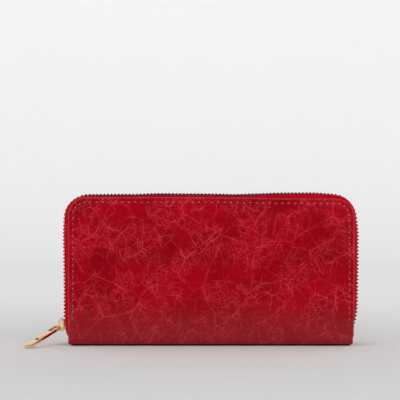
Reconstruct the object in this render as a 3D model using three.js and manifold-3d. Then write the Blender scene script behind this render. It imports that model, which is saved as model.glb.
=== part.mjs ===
// Zip-around wallet, standing on its spine. Millimetres, +Z up, origin under the middle of the spine.
// Seen from the front (looking along +Y) the zip's slider is at the lower left.
import * as THREE from "three";
import { mergeVertices } from "three/addons/utils/BufferGeometryUtils.js";
import Module from "manifold-3d";

const wasm = await Module();
wasm.setup();

// Driving dimensions: the closed wallet.
const PANEL_W = 188; // leather panel, side to side
const PANEL_H = 97; // leather panel, spine to top edge
const THICKNESS = 25; // front face to back face
const CORNER_R = 12; // top corners of the panels
const FOOT_R = 2.5; // bottom corners of the panels
const GAP = 0.3; // clearance between pieces that pass each other
const PLY_GAP = 0.1; // clearance between layers glued face to face

// Cover layers, from the outside in.
const LEATHER_T = 1.2;
const BOARD_T = 0.8;
const LINING_T = 0.4;
const COVER_T = LEATHER_T + BOARD_T + LINING_T + 2 * PLY_GAP;
const HINGE_R = COVER_T / 2; // radius of a cover's rounded foot, which the cover turns about
const HINGE_Y = THICKNESS / 2 - HINGE_R;
const LAYER_FOOT = HINGE_R + GAP; // height where the board and the lining start
const BOARD_INSET = 0.6;
const LINING_INSET = 6;

// Card pockets: stepped strips on each lining.
const CARD_STRIPS = 4;
const CARD_STRIP_T = 0.5;
const CARD_PITCH = 0.65; // from one strip to the next, towards the middle
const CARD_HALF_W = 87.5;
const CARD_TOP = 84; // top of the strip nearest the lining
const CARD_STEP = 11; // each next strip is this much lower
const CARD_FOOT = 4;

// Seam along the panel's edge.
const SEAM_INSET = 3;
const SEAM_FOOT = 2.6;
const GROOVE_W = 0.9;
const GROOVE_DEPTH = 0.5;
const THREAD_W = 0.5;
const THREAD_T = 0.3;

// Main zip. Offsets are measured outwards from the panel's outline.
const TOOTH_PITCH = 2.4;
const TOOTH_IN = 1.9;
const TOOTH_OUT = 4.4;
const TOOTH_NOTCH = 0.7; // how far the gaps between teeth are cut back
const TOOTH_Y = [0.9, 2.9]; // a row's distance from the middle plane
const TAPE_Y = 3.2; // where the tape's beaded edge ends
const ZIP_FOOT = 6; // height of the tapes' ends
const STOP_IN = 2.7;
const STOP_OUT = 3.6;

// Main slider, at the foot of the left side.
const SLIDER_Z = [8.5, 18.5];
const SLIDER_HALF_W = 4.2;
const PLATE_IN = [0.6, 1.6]; // inner plate, as offsets
const PLATE_OUT = [4.7, 5.4]; // outer plate, as offsets
const TAPE_SLOT = [2.5, 3.8]; // slot between the flanges, as offsets
const FLANGE_Y = 3.3;
const DIAMOND_HALF_W = 0.6;
const BAIL_OUT = 7.9;
const BAIL_Z = [8.8, 17.4];
const BAIL_WIRE = 0.8;
const BAIL_HALF_W = 0.65;

// Main pull: a flat bar with a slotted eye, lying with its tip on the table.
const PULL_LENGTH = 35;
const PULL_W = 6.4;
const PULL_T = 1.5;
const PULL_RAIL = 1;
const PULL_SLOT = 9.4;
const PULL_HOLE_R = 1;
const PULL_HOLE_FROM_TIP = 11;
const PULL_CHAMFER = 0.7;
const PULL_YAW = THREE.MathUtils.degToRad(57.3); // turned from -X towards -Y
const PULL_EYE = new THREE.Vector3(-102.75, 0, 10.5); // middle of the eye, where the pull swings

// Coin pocket, standing on the spine between the covers.
const COIN_HALF_W = 88;
const COIN_WALL_T = 0.6;
const COIN_HALF_T = 2.8;
const COIN_FOOT = 2.9;
const COIN_TOP = 70;
const COIN_TAPE_TOP = 73.4;
const COIN_TAPE_T = 0.4;
const COIN_EDGE_Y = 0.6; // half the gap between the two zip tapes
const COIN_COIL_W = 1.2;
const COIN_COIL_H = 1.5;
const COIN_SLIDER_X = [73, 81];
const COIN_SLIDER_HALF_W = 2.7;
const COIN_PULL_LENGTH = 17;
const COIN_PULL_W = 4;

// Colours.
const RED_LEATHER = { color: 0x9b0d1e, roughness: 0.45, metalness: 0 };
const RED_TAPE = { color: 0xb5161f, roughness: 0.85, metalness: 0 };
const RED_LINING = { color: 0x7e1420, roughness: 0.8, metalness: 0 };
const THREAD = { color: 0xb98c7d, roughness: 0.7, metalness: 0 };
const BOARD = { color: 0x9b8a70, roughness: 0.9, metalness: 0 };
const BLACK_METAL = { color: 0x241f20, roughness: 0.4, metalness: 0.9 };
const GOLD = { color: 0xdcae6e, roughness: 0.25, metalness: 1 };
const COIL = { color: 0x8e1a22, roughness: 0.5, metalness: 0 };

const wallet = new THREE.Group();

function add(name, geometry, look) {
  const mesh = new THREE.Mesh(geometry, new THREE.MeshStandardMaterial(look));
  mesh.name = name;
  wallet.add(mesh);
  return mesh;
}

// ---- shapes -------------------------------------------------------------------------------

function box(x0, x1, y0, y1, z0, z1) {
  const geometry = new THREE.BoxGeometry(Math.abs(x1 - x0), Math.abs(y1 - y0), Math.abs(z1 - z0));
  return geometry.translate((x0 + x1) / 2, (y0 + y1) / 2, (z0 + z1) / 2);
}

function extrude(shape, depth, curveSegments) {
  return new THREE.ExtrudeGeometry(shape, { depth, bevelEnabled: false, curveSegments });
}

// A shape drawn in X and Z, given thickness along Y.
function slabXZ(shape, y0, y1, curveSegments = 6) {
  const basis = new THREE.Matrix4().makeRotationX(Math.PI / 2);
  const geometry = extrude(shape, Math.abs(y1 - y0), curveSegments).applyMatrix4(basis);
  return geometry.translate(0, Math.max(y0, y1), 0);
}

// A shape drawn in Y and Z, given length along X.
function barYZ(shape, x0, x1, curveSegments = 6) {
  const basis = new THREE.Matrix4().makeBasis(
    new THREE.Vector3(0, 1, 0),
    new THREE.Vector3(0, 0, 1),
    new THREE.Vector3(1, 0, 0),
  );
  const geometry = extrude(shape, x1 - x0, curveSegments).applyMatrix4(basis);
  return geometry.translate(x0, 0, 0);
}

// Upright panel: round top corners, small round feet.
function panelShape(halfW, foot, top, cornerR, footR) {
  const shape = new THREE.Shape();
  shape.moveTo(-halfW + footR, foot);
  shape.lineTo(halfW - footR, foot);
  if (footR > 0) shape.absarc(halfW - footR, foot + footR, footR, -Math.PI / 2, 0);
  shape.lineTo(halfW, top - cornerR);
  shape.absarc(halfW - cornerR, top - cornerR, cornerR, 0, Math.PI / 2);
  shape.lineTo(-halfW + cornerR, top);
  shape.absarc(-halfW + cornerR, top - cornerR, cornerR, Math.PI / 2, Math.PI);
  shape.lineTo(-halfW, foot + footR);
  if (footR > 0) shape.absarc(-halfW + footR, foot + footR, footR, Math.PI, 1.5 * Math.PI);
  return shape;
}

function polygon(points) {
  return new THREE.Shape(points.map(([a, b]) => new THREE.Vector2(a, b)));
}

// ---- booleans -----------------------------------------------------------------------------

function solid(geometry) {
  const bare = geometry.clone();
  bare.deleteAttribute("normal");
  bare.deleteAttribute("uv");
  const merged = mergeVertices(bare, 1e-5);
  const vertProperties = new Float32Array(merged.attributes.position.array);
  const triVerts = new Uint32Array(merged.index.array);
  return new wasm.Manifold(new wasm.Mesh({ numProp: 3, vertProperties, triVerts }));
}

function surface(manifold) {
  const mesh = manifold.getMesh();
  const geometry = new THREE.BufferGeometry();
  geometry.setAttribute("position", new THREE.BufferAttribute(mesh.vertProperties, 3));
  geometry.setIndex(new THREE.BufferAttribute(mesh.triVerts, 1));
  geometry.computeVertexNormals();
  return geometry;
}

function join(...geometries) {
  return geometries.map(solid).reduce((whole, next) => whole.add(next));
}

// ---- the arch that the zip and the seam follow --------------------------------------------

const ARCH_SIDE = PANEL_H - CORNER_R - ZIP_FOOT;
const ARCH_CORNER = (CORNER_R * Math.PI) / 2;
const ARCH_TOP = PANEL_W - 2 * CORNER_R;
const ARCH_LENGTH = 2 * ARCH_SIDE + 2 * ARCH_CORNER + ARCH_TOP;

// Point and outward normal at a distance along the panel's outline, from the left foot of the zip.
function archPoint(distance) {
  const half = PANEL_W / 2;
  const centreX = half - CORNER_R;
  const centreZ = PANEL_H - CORNER_R;
  let s = distance;
  if (s <= ARCH_SIDE) return { x: -half, z: ZIP_FOOT + s, nx: -1, nz: 0 };
  s -= ARCH_SIDE;
  if (s < ARCH_CORNER) return arcPoint(-centreX, centreZ, Math.PI - s / CORNER_R);
  s -= ARCH_CORNER;
  if (s <= ARCH_TOP) return { x: -centreX + s, z: PANEL_H, nx: 0, nz: 1 };
  s -= ARCH_TOP;
  if (s < ARCH_CORNER) return arcPoint(centreX, centreZ, Math.PI / 2 - s / CORNER_R);
  s -= ARCH_CORNER;
  return { x: half, z: centreZ - s, nx: 1, nz: 0 };
}

function arcPoint(x, z, angle) {
  const nx = Math.cos(angle);
  const nz = Math.sin(angle);
  return { x: x + CORNER_R * nx, z: z + CORNER_R * nz, nx, nz };
}

// The zip's two ends curl in behind the panel's edge: a short curl on the left, a longer one right.
// The tape's sewn flange stays where it is, and the curl grows from the edge out to the teeth.
function curl(distance, offset) {
  const left = Math.max(0, 1 - distance / 2.5);
  const right = Math.max(0, 1 - (ARCH_LENGTH - distance) / 9);
  const share = THREE.MathUtils.clamp(offset / TOOTH_IN, 0, 1);
  return share * (0.6 * left * left + 2.4 * right * right);
}

// Distances along the arch: its ends, its curls and the steps round both corners.
function archSteps(from, to, cornerSteps = 8) {
  const corners = [ARCH_SIDE, ARCH_SIDE + ARCH_CORNER + ARCH_TOP];
  const steps = [from, 1.2, 2.5, ARCH_LENGTH - 9, ARCH_LENGTH - 6, ARCH_LENGTH - 3, to];
  for (const corner of corners) {
    for (let i = 0; i <= cornerSteps; i += 1) steps.push(corner + (i / cornerSteps) * ARCH_CORNER);
  }
  const inside = steps.filter((s) => s >= from && s <= to);
  return [...new Set(inside)].sort((a, b) => a - b);
}

// Sweeps a closed profile of [offset, y] points along the arch. profileAt gives it for each step.
function sweepArch(distances, profileAt, curled = true) {
  const first = profileAt(0);
  const count = first.length;
  const positions = [];
  distances.forEach((distance, i) => {
    const point = archPoint(distance);
    for (const [offset, y] of profileAt(i)) {
      const reach = curled ? offset - curl(distance, offset) : offset;
      positions.push(point.x + point.nx * reach, y, point.z + point.nz * reach);
    }
  });
  const index = [];
  for (let i = 0; i + 1 < distances.length; i += 1) {
    for (let k = 0; k < count; k += 1) {
      const a = i * count + k;
      const b = i * count + ((k + 1) % count);
      index.push(a, b, b + count, a, b + count, a + count);
    }
  }
  const outline = first.map(([u, v]) => new THREE.Vector2(u, v));
  const turn = Math.sign(THREE.ShapeUtils.area(outline));
  const last = (distances.length - 1) * count;
  for (const cap of THREE.ShapeUtils.triangulateShape(outline, [])) {
    const capTurn = Math.sign(THREE.ShapeUtils.area(cap.map((i) => outline[i])));
    const [a, b, c] = capTurn === turn ? cap : cap.toReversed();
    index.push(a, c, b, last + a, last + b, last + c);
  }
  return facingOut(positions, index);
}

// A closed surface, with its triangles turned over if the profile was drawn the other way round.
function facingOut(positions, index) {
  const geometry = new THREE.BufferGeometry();
  geometry.setAttribute("position", new THREE.Float32BufferAttribute(positions, 3));
  geometry.setIndex(index);
  if (signedVolume(geometry) < 0) geometry.setIndex(index.toReversed());
  geometry.computeVertexNormals();
  return geometry;
}

function signedVolume(geometry) {
  const position = geometry.attributes.position;
  const corners = [new THREE.Vector3(), new THREE.Vector3(), new THREE.Vector3()];
  let volume = 0;
  for (let i = 0; i < geometry.index.count; i += 3) {
    corners.forEach((corner, k) => corner.fromBufferAttribute(position, geometry.index.getX(i + k)));
    volume += corners[0].dot(corners[1].clone().cross(corners[2])) / 6;
  }
  return volume;
}

// ---- covers -------------------------------------------------------------------------------

const SIDES = [
  { name: "front", side: -1 },
  { name: "back", side: 1 },
];

// Outer leather: an upright skin whose foot is a full half-round, turned about the cover's hinge.
function coverLeather(side) {
  const outer = THICKNESS / 2;
  const profile = new THREE.Shape();
  profile.moveTo(side * outer, HINGE_R);
  profile.absarc(side * HINGE_Y, HINGE_R, HINGE_R, side < 0 ? Math.PI : 0, side < 0 ? 0 : Math.PI, side > 0);
  profile.lineTo(side * (outer - LEATHER_T), HINGE_R);
  profile.lineTo(side * (outer - LEATHER_T), PANEL_H);
  profile.lineTo(side * outer, PANEL_H);
  const skin = solid(barYZ(profile, -PANEL_W / 2, PANEL_W / 2));
  const outline = panelShape(PANEL_W / 2, 0, PANEL_H, CORNER_R, FOOT_R);
  const cut = solid(slabXZ(outline, side * (outer + 1), side * (outer - COVER_T - 1), 8));
  const face = side * outer;
  const groove = seamStrip(face + side, face - side * GROOVE_DEPTH, GROOVE_W);
  return surface(skin.intersect(cut).subtract(solid(groove)));
}

// A strip that follows the seam line, from y0 to y1 deep and w wide.
function seamStrip(y0, y1, w) {
  const near = -SEAM_INSET - w / 2;
  const far = -SEAM_INSET + w / 2;
  const steps = archSteps(SEAM_FOOT - ZIP_FOOT, ARCH_LENGTH - (SEAM_FOOT - ZIP_FOOT));
  return sweepArch(steps, () => [[near, y0], [far, y0], [far, y1], [near, y1]], false);
}

function coverLayer(side, inset, depth, thickness) {
  const y0 = side * (THICKNESS / 2 - depth);
  const y1 = side * (THICKNESS / 2 - depth - thickness);
  const halfW = PANEL_W / 2 - inset;
  return slabXZ(panelShape(halfW, LAYER_FOOT, PANEL_H - inset, CORNER_R - inset, 0), y0, y1);
}

function cardStrip(side, k) {
  const near = THICKNESS / 2 - COVER_T - PLY_GAP - k * CARD_PITCH;
  const top = CARD_TOP - k * CARD_STEP;
  const shape = panelShape(CARD_HALF_W, CARD_FOOT, top, 3, 0);
  return slabXZ(shape, side * near, side * (near - CARD_STRIP_T), 3);
}

// Zip tape: a flange sewn behind the panel's edge, then a slope out to the beaded edge.
function zipTape(side) {
  const flangeOut = THICKNESS / 2 - LEATHER_T - BOARD_T - 2 * PLY_GAP;
  const flangeIn = flangeOut - LINING_T;
  const profile = [
    [-LINING_INSET + GAP, flangeOut],
    [-0.6, flangeOut],
    [0.5, flangeOut - 0.6],
    [2.0, 7.4],
    [3.3, 4.9],
    [3.45, 4.3],
    [3.45, TAPE_Y],
    [2.85, TAPE_Y],
    [2.85, 4.4],
    [2.7, 4.8],
    [1.5, 7.1],
    [0.1, 9.2],
    [-0.8, flangeIn],
    [-LINING_INSET + GAP, flangeIn],
  ];
  const placed = profile.map(([offset, y]) => [offset, side * y]);
  return sweepArch(archSteps(0, ARCH_LENGTH), () => placed);
}

// A row of teeth: the outline steps in between one tooth and the next.
function zipTeeth(side, startZ) {
  const from = startZ - ZIP_FOOT;
  const to = ARCH_LENGTH - 2.4;
  const count = 2 * Math.floor((to - from) / TOOTH_PITCH);
  const distances = [];
  for (let i = 0; i <= count; i += 1) distances.push(from + (i * TOOTH_PITCH) / 2);
  const [y0, y1] = TOOTH_Y.map((y) => side * y);
  const profileAt = (i) => {
    const notch = i % 2 ? TOOTH_NOTCH : 0;
    const lowest = TOOTH_IN + notch / 2;
    const highest = TOOTH_OUT - notch;
    return [[lowest, y0], [highest, y0], [highest, y1], [lowest, y1]];
  };
  return sweepArch(distances, profileAt);
}

// An end stop is thinner than the slider's slot, so a cover can swing its stop clear of the slider.
function zipStop(side, from, to) {
  const [y0, y1] = TOOTH_Y.map((y) => side * y);
  const profile = [[STOP_IN, y0], [STOP_OUT, y0], [STOP_OUT, y1], [STOP_IN, y1]];
  return sweepArch([from, to], () => profile, from > SLIDER_Z[0]);
}

for (const { name, side } of SIDES) {
  const face = side * (THICKNESS / 2);
  const threadOut = face - side * (GROOVE_DEPTH - THREAD_T - PLY_GAP);
  const teethFoot = side < 0 ? SLIDER_Z[1] + 0.7 : SLIDER_Z[0] + 0.4;
  add(`${name}_leather`, coverLeather(side), RED_LEATHER);
  add(`${name}_board`, coverLayer(side, BOARD_INSET, LEATHER_T + PLY_GAP, BOARD_T), BOARD);
  const liningDepth = LEATHER_T + BOARD_T + 2 * PLY_GAP;
  add(`${name}_lining`, coverLayer(side, LINING_INSET, liningDepth, LINING_T), RED_LINING);
  for (let k = 0; k < CARD_STRIPS; k += 1) {
    add(`${name}_card_strip_${k + 1}`, cardStrip(side, k), RED_LEATHER);
  }
  add(`${name}_thread`, seamStrip(threadOut, threadOut - side * THREAD_T, THREAD_W), THREAD);
  add(`${name}_tape`, zipTape(side), RED_TAPE);
  add(`${name}_teeth`, zipTeeth(side, teethFoot), BLACK_METAL);
  add(`${name}_stop_left`, zipStop(side, 0.3, 2.2), BLACK_METAL);
  add(`${name}_stop_right`, zipStop(side, ARCH_LENGTH - 2.1, ARCH_LENGTH - 0.3), BLACK_METAL);
}

// ---- spine --------------------------------------------------------------------------------

const SPINE_HALF_T = THICKNESS / 2 - COVER_T - GAP;

function spineLayer(inset, z0, z1) {
  const halfW = PANEL_W / 2 - inset;
  return box(-halfW, halfW, -SPINE_HALF_T, SPINE_HALF_T, z0, z1);
}

const SPINE_BOARD_Z = LEATHER_T + PLY_GAP;
const SPINE_LINING_Z = SPINE_BOARD_Z + BOARD_T + PLY_GAP;
add("spine_leather", spineLayer(FOOT_R, 0, LEATHER_T), RED_LEATHER);
add("spine_board", spineLayer(FOOT_R + 0.5, SPINE_BOARD_Z, SPINE_BOARD_Z + BOARD_T), BOARD);
add("spine_lining", spineLayer(FOOT_R, SPINE_LINING_Z, SPINE_LINING_Z + LINING_T), RED_LINING);

// ---- coin pocket --------------------------------------------------------------------------

function coinWall(side) {
  const y0 = side * COIN_HALF_T;
  const y1 = side * (COIN_HALF_T - COIN_WALL_T);
  return box(-COIN_HALF_W, COIN_HALF_W, y0, y1, COIN_FOOT, COIN_TOP);
}

// The gusset closes the pocket's two ends and its foot.
function coinGusset() {
  const inner = COIN_HALF_W - COIN_WALL_T;
  const floor = COIN_FOOT + COIN_WALL_T;
  const shape = polygon([
    [-COIN_HALF_W, COIN_FOOT],
    [COIN_HALF_W, COIN_FOOT],
    [COIN_HALF_W, COIN_TOP],
    [inner, COIN_TOP],
    [inner, floor],
    [-inner, floor],
    [-inner, COIN_TOP],
    [-COIN_HALF_W, COIN_TOP],
  ]);
  const halfT = COIN_HALF_T - COIN_WALL_T - PLY_GAP;
  return slabXZ(shape, -halfT, halfT);
}

// Each tape stands on its wall and turns in to the coil.
function coinTape(side) {
  const shape = polygon([
    [side * COIN_HALF_T, COIN_TOP + GAP],
    [side * COIN_HALF_T, COIN_TAPE_TOP],
    [side * COIN_EDGE_Y, COIN_TAPE_TOP],
    [side * COIN_EDGE_Y, COIN_TAPE_TOP - COIN_TAPE_T],
    [side * (COIN_HALF_T - COIN_TAPE_T), COIN_TAPE_TOP - COIN_TAPE_T],
    [side * (COIN_HALF_T - COIN_TAPE_T), COIN_TOP + GAP],
  ]);
  return barYZ(shape, -COIN_HALF_W, COIN_HALF_W);
}

const COIN_COIL_Z = COIN_TAPE_TOP + PLY_GAP;
const COIN_COIL_HALF_L = 84;

function coinCoil(side) {
  const shape = new THREE.Shape();
  const centreY = side * (COIN_EDGE_Y + COIN_COIL_W / 2);
  const centreZ = COIN_COIL_Z + COIN_COIL_H / 2;
  shape.absellipse(centreY, centreZ, COIN_COIL_W / 2, COIN_COIL_H / 2, 0, 2 * Math.PI);
  return barYZ(shape, -COIN_COIL_HALF_L, COIN_COIL_HALF_L, 4);
}

// An end stop is a small staple across both coils' ends.
function coinStop(side) {
  const x0 = side * (COIN_COIL_HALF_L + GAP);
  const x1 = side * (COIN_COIL_HALF_L + 2.2);
  return box(x0, x1, -2, 2, COIN_COIL_Z, COIN_COIL_Z + 1.2);
}

for (const { name, side } of SIDES) {
  add(`coin_wall_${name}`, coinWall(side), RED_LINING);
  add(`coin_tape_${name}`, coinTape(side), RED_TAPE);
  add(`coin_coil_${name}`, coinCoil(side), COIL);
}
add("coin_gusset", coinGusset(), RED_LINING);
add("coin_stop_left", coinStop(-1), GOLD);
add("coin_stop_right", coinStop(1), GOLD);

// ---- main slider --------------------------------------------------------------------------

const LEFT_EDGE = -PANEL_W / 2;

// A box on the left edge: offsets outwards, then y and z.
function leftBox([o0, o1], y0, y1, z0, z1) {
  return box(LEFT_EDGE - o1, LEFT_EDGE - o0, y0, y1, z0, z1);
}

// A slider plate: a rectangle with its four corners cut off.
function sliderPlate([o0, o1]) {
  const [z0, z1] = SLIDER_Z;
  const w = SLIDER_HALF_W;
  const cut = 1.2;
  const outline = [
    [-w, z0 + cut], [-w + cut, z0], [w - cut, z0], [w, z0 + cut],
    [w, z1 - cut], [w - cut, z1], [-w + cut, z1], [-w, z1 - cut],
  ];
  return barYZ(polygon(outline), LEFT_EDGE - o1, LEFT_EDGE - o0);
}

function sliderBody() {
  const [z0, z1] = [SLIDER_Z[0] + 1.2, SLIDER_Z[1] - 1.2];
  const flanges = [];
  for (const side of [-1, 1]) {
    const [y0, y1] = [side * FLANGE_Y, side * SLIDER_HALF_W];
    flanges.push(leftBox([PLATE_IN[0] + 0.2, TAPE_SLOT[0]], y0, y1, z0, z1));
    flanges.push(leftBox([TAPE_SLOT[1], PLATE_OUT[1] - 0.2], y0, y1, z0, z1));
  }
  const post = [PLATE_IN[0] + 0.2, PLATE_OUT[1] - 0.2];
  const diamond = leftBox(post, -DIAMOND_HALF_W, DIAMOND_HALF_W, SLIDER_Z[0] + 0.6, SLIDER_Z[0] + 4);
  return surface(join(sliderPlate(PLATE_IN), sliderPlate(PLATE_OUT), diamond, ...flanges));
}

// The bail: a flat wire arch that stands off the outer plate.
function sliderBail() {
  const foot = LEFT_EDGE - PLATE_OUT[1] - PLY_GAP;
  const crown = LEFT_EDGE - BAIL_OUT;
  const [z0, z1] = BAIL_Z;
  const r = 1.6;
  const shape = new THREE.Shape();
  shape.moveTo(foot, z0);
  shape.lineTo(foot, z0 + BAIL_WIRE);
  shape.absarc(crown + r, z0 + r, r - BAIL_WIRE, -Math.PI / 2, Math.PI, true);
  shape.absarc(crown + r, z1 - r, r - BAIL_WIRE, Math.PI, Math.PI / 2, true);
  shape.lineTo(foot, z1 - BAIL_WIRE);
  shape.lineTo(foot, z1);
  shape.absarc(crown + r, z1 - r, r, Math.PI / 2, Math.PI);
  shape.absarc(crown + r, z0 + r, r, Math.PI, 1.5 * Math.PI);
  return slabXZ(shape, -BAIL_HALF_W, BAIL_HALF_W, 4);
}

// The locking pawl lies on the outer plate under the bail.
function sliderLock() {
  const offsets = [PLATE_OUT[1] + PLY_GAP, PLATE_OUT[1] + 0.6];
  return leftBox(offsets, -0.5, 0.5, 13.4, BAIL_Z[1] - BAIL_WIRE - GAP);
}

add("slider_body", sliderBody(), GOLD);
add("slider_bail", sliderBail(), GOLD);
add("slider_lock", sliderLock(), GOLD);

// ---- main pull ----------------------------------------------------------------------------

// The bar's outline, with the middle of its eye at the origin and its tip along +X.
function pullShape() {
  const half = PULL_W / 2;
  const tip = PULL_LENGTH - half;
  const shape = new THREE.Shape();
  shape.moveTo(0, -half);
  shape.lineTo(tip - PULL_CHAMFER, -half);
  shape.lineTo(tip, -half + PULL_CHAMFER);
  shape.lineTo(tip, half - PULL_CHAMFER);
  shape.lineTo(tip - PULL_CHAMFER, half);
  shape.lineTo(0, half);
  shape.absarc(0, 0, half, Math.PI / 2, 1.5 * Math.PI);
  const inner = half - PULL_RAIL;
  const slotEnd = PULL_SLOT - inner;
  const slot = new THREE.Path();
  slot.moveTo(slotEnd, inner);
  slot.lineTo(slotEnd, -inner);
  slot.lineTo(0, -inner);
  slot.absarc(0, 0, inner, 1.5 * Math.PI, Math.PI / 2, true);
  const hole = new THREE.Path();
  hole.absarc(tip - PULL_HOLE_FROM_TIP, 0, PULL_HOLE_R, 0, 2 * Math.PI, true);
  shape.holes.push(slot, hole);
  return shape;
}

// The tip comes down to the table, so the bar's slope follows from the eye's height.
function pullTab() {
  const reach = PULL_LENGTH - PULL_W / 2;
  const slope = Math.asin((PULL_EYE.z - PULL_T / 2 - 0.1) / reach);
  const flat = new THREE.Vector3(-Math.cos(PULL_YAW), -Math.sin(PULL_YAW), 0);
  const along = flat.clone().multiplyScalar(Math.cos(slope)).setZ(-Math.sin(slope));
  const across = new THREE.Vector3(Math.sin(PULL_YAW), -Math.cos(PULL_YAW), 0);
  const upward = along.clone().cross(across);
  const bar = extrude(pullShape(), PULL_T, 8).translate(0, 0, -PULL_T / 2);
  bar.applyMatrix4(new THREE.Matrix4().makeBasis(along, across, upward));
  return bar.translate(PULL_EYE.x, PULL_EYE.y, PULL_EYE.z);
}

add("pull_tab", pullTab(), GOLD);

// ---- coin slider and pull -----------------------------------------------------------------

function coinSliderBody() {
  const [x0, x1] = COIN_SLIDER_X;
  const w = COIN_SLIDER_HALF_W;
  const coilTop = COIN_COIL_Z + COIN_COIL_H;
  const under = COIN_TAPE_TOP - COIN_TAPE_T - GAP;
  const top = [coilTop + GAP, coilTop + GAP + 0.7];
  const topPlate = box(x0, x1, -w, w, top[0], top[1]);
  const lowPlate = box(x0 + 0.6, x1 - 0.6, -1.8, 1.8, under - 0.7, under);
  const post = box(x1 - 3, x1 - 1, -0.35, 0.35, under - 0.4, top[0] + 0.4);
  const flanges = [-1, 1].map((side) => {
    return box(x0 + 0.6, x1 - 0.6, side * 2.1, side * w, COIN_TAPE_TOP + GAP, top[0] + 0.4);
  });
  return surface(join(topPlate, lowPlate, post, ...flanges));
}

const COIN_PLATE_TOP = COIN_COIL_Z + COIN_COIL_H + GAP + 0.7;
const COIN_BAIL_R = 1.9;
const COIN_BAIL_X = (COIN_SLIDER_X[0] + COIN_SLIDER_X[1]) / 2;

function coinSliderBail() {
  const z = COIN_PLATE_TOP + PLY_GAP;
  const shape = new THREE.Shape();
  shape.absarc(COIN_BAIL_X, z, COIN_BAIL_R, 0, Math.PI);
  shape.lineTo(COIN_BAIL_X - COIN_BAIL_R + 0.6, z);
  shape.absarc(COIN_BAIL_X, z, COIN_BAIL_R - 0.6, Math.PI, 0, true);
  return slabXZ(shape, -0.5, 0.5, 6);
}

// A short tab whose eye is threaded on the bail; it lies back along the coil.
function coinPull() {
  const half = COIN_PULL_W / 2;
  const pin = 0.35;
  const end = -COIN_PULL_LENGTH;
  const shape = new THREE.Shape();
  shape.moveTo(pin, -half);
  shape.lineTo(pin, half);
  shape.lineTo(end + half, half);
  shape.absarc(end + half, 0, half, Math.PI / 2, 1.5 * Math.PI);
  const slot = new THREE.Path();
  slot.moveTo(-pin, -1);
  slot.lineTo(-3.4, -1);
  slot.lineTo(-3.4, 1);
  slot.lineTo(-pin, 1);
  shape.holes.push(slot);
  const tab = extrude(shape, 2 * pin, 6);
  return tab.translate(COIN_BAIL_X, 0, COIN_PLATE_TOP + 0.2);
}

add("coin_slider_body", coinSliderBody(), GOLD);
add("coin_slider_bail", coinSliderBail(), GOLD);
add("coin_pull_tab", coinPull(), GOLD);

export default wallet;
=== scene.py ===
from math import asin, copysign, cos, hypot, pi, radians, sin

import bmesh
import bpy
import numpy as np
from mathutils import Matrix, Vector, noise


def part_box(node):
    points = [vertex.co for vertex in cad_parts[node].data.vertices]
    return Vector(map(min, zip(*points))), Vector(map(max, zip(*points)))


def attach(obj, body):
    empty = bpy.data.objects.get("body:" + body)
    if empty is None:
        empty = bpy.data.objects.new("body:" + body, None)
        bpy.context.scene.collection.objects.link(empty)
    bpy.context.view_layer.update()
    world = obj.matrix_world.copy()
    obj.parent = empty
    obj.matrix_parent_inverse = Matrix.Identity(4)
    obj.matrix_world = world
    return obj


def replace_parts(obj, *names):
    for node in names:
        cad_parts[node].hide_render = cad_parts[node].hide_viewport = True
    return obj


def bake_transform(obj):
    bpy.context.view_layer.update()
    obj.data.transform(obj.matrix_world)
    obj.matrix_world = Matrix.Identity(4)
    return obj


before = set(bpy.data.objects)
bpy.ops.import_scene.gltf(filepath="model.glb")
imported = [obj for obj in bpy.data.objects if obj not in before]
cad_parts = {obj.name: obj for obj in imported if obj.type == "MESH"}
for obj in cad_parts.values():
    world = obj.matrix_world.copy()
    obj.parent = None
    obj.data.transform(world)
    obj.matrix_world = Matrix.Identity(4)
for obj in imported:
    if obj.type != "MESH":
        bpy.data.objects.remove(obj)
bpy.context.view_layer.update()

MM = 0.001


def box_mm(node):
    """The two corners of a CAD node's box, in mm."""
    return [np.array(corner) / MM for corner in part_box(node)]


# ---- sizes of the CAD frame, in mm ----

LEATHER_BOX = box_mm("front_leather")
HALF_W = LEATHER_BOX[1][0]
TOP = LEATHER_BOX[1][2]
FACE_Y = -LEATHER_BOX[0][1]
CORNER_R = 12
FOOT_R = 2.5
SPINE_EDGE = 8.0
ZIP_FOOT = 6
ARCH_SIDE = TOP - CORNER_R - ZIP_FOOT
ARCH_CORNER = CORNER_R * pi / 2
ARCH_TOP = 2 * (HALF_W - CORNER_R)
ARCH_LENGTH = 2 * ARCH_SIDE + 2 * ARCH_CORNER + ARCH_TOP
SIDES = (("front", -1), ("back", 1))


# ---- mesh helpers ----

def xyz(x, y, z=0.0):
    """Points from their coordinates, each of which can be one number for all the points."""
    return np.stack(np.broadcast_arrays(x, y, z), -1)


def link(name, data):
    """A new object in the scene."""
    obj = bpy.data.objects.new(name, data)
    bpy.context.scene.collection.objects.link(obj)
    return obj


def mark_cut(mesh, spots):
    """Stores each point's place on the flat material, in mm."""
    layer = mesh.attributes.new("cut", "FLOAT_VECTOR", "POINT")
    layer.data.foreach_set("vector", np.asarray(spots, np.float32).ravel())


def make(name, points, faces, looks, face_look=None, cut=None, sharp=35):
    """A mesh object from points in mm. cut is each point's place on the flat material, in mm."""
    points = np.asarray(points, float)
    mesh = bpy.data.meshes.new(name)
    mesh.from_pydata((points * MM).tolist(), [], [tuple(map(int, f)) for f in faces])
    for look in looks:
        mesh.materials.append(look)
    if face_look is not None:
        mesh.polygons.foreach_set("material_index", np.asarray(face_look, np.int32))
    mark_cut(mesh, points if cut is None else cut)
    mesh.validate()
    fix = bmesh.new()
    fix.from_mesh(mesh)
    bmesh.ops.recalc_face_normals(fix, faces=fix.faces)
    fix.to_mesh(mesh)
    fix.free()
    mesh.shade_smooth()
    mesh.set_sharp_from_angle(angle=radians(sharp))
    return link(name, mesh)


def place(obj, body, slot, *nodes):
    """The piece moves with a body and stands for CAD nodes. Its slot is not used."""
    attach(obj, body)
    if nodes:
        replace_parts(obj, *nodes)
    return obj


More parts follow.
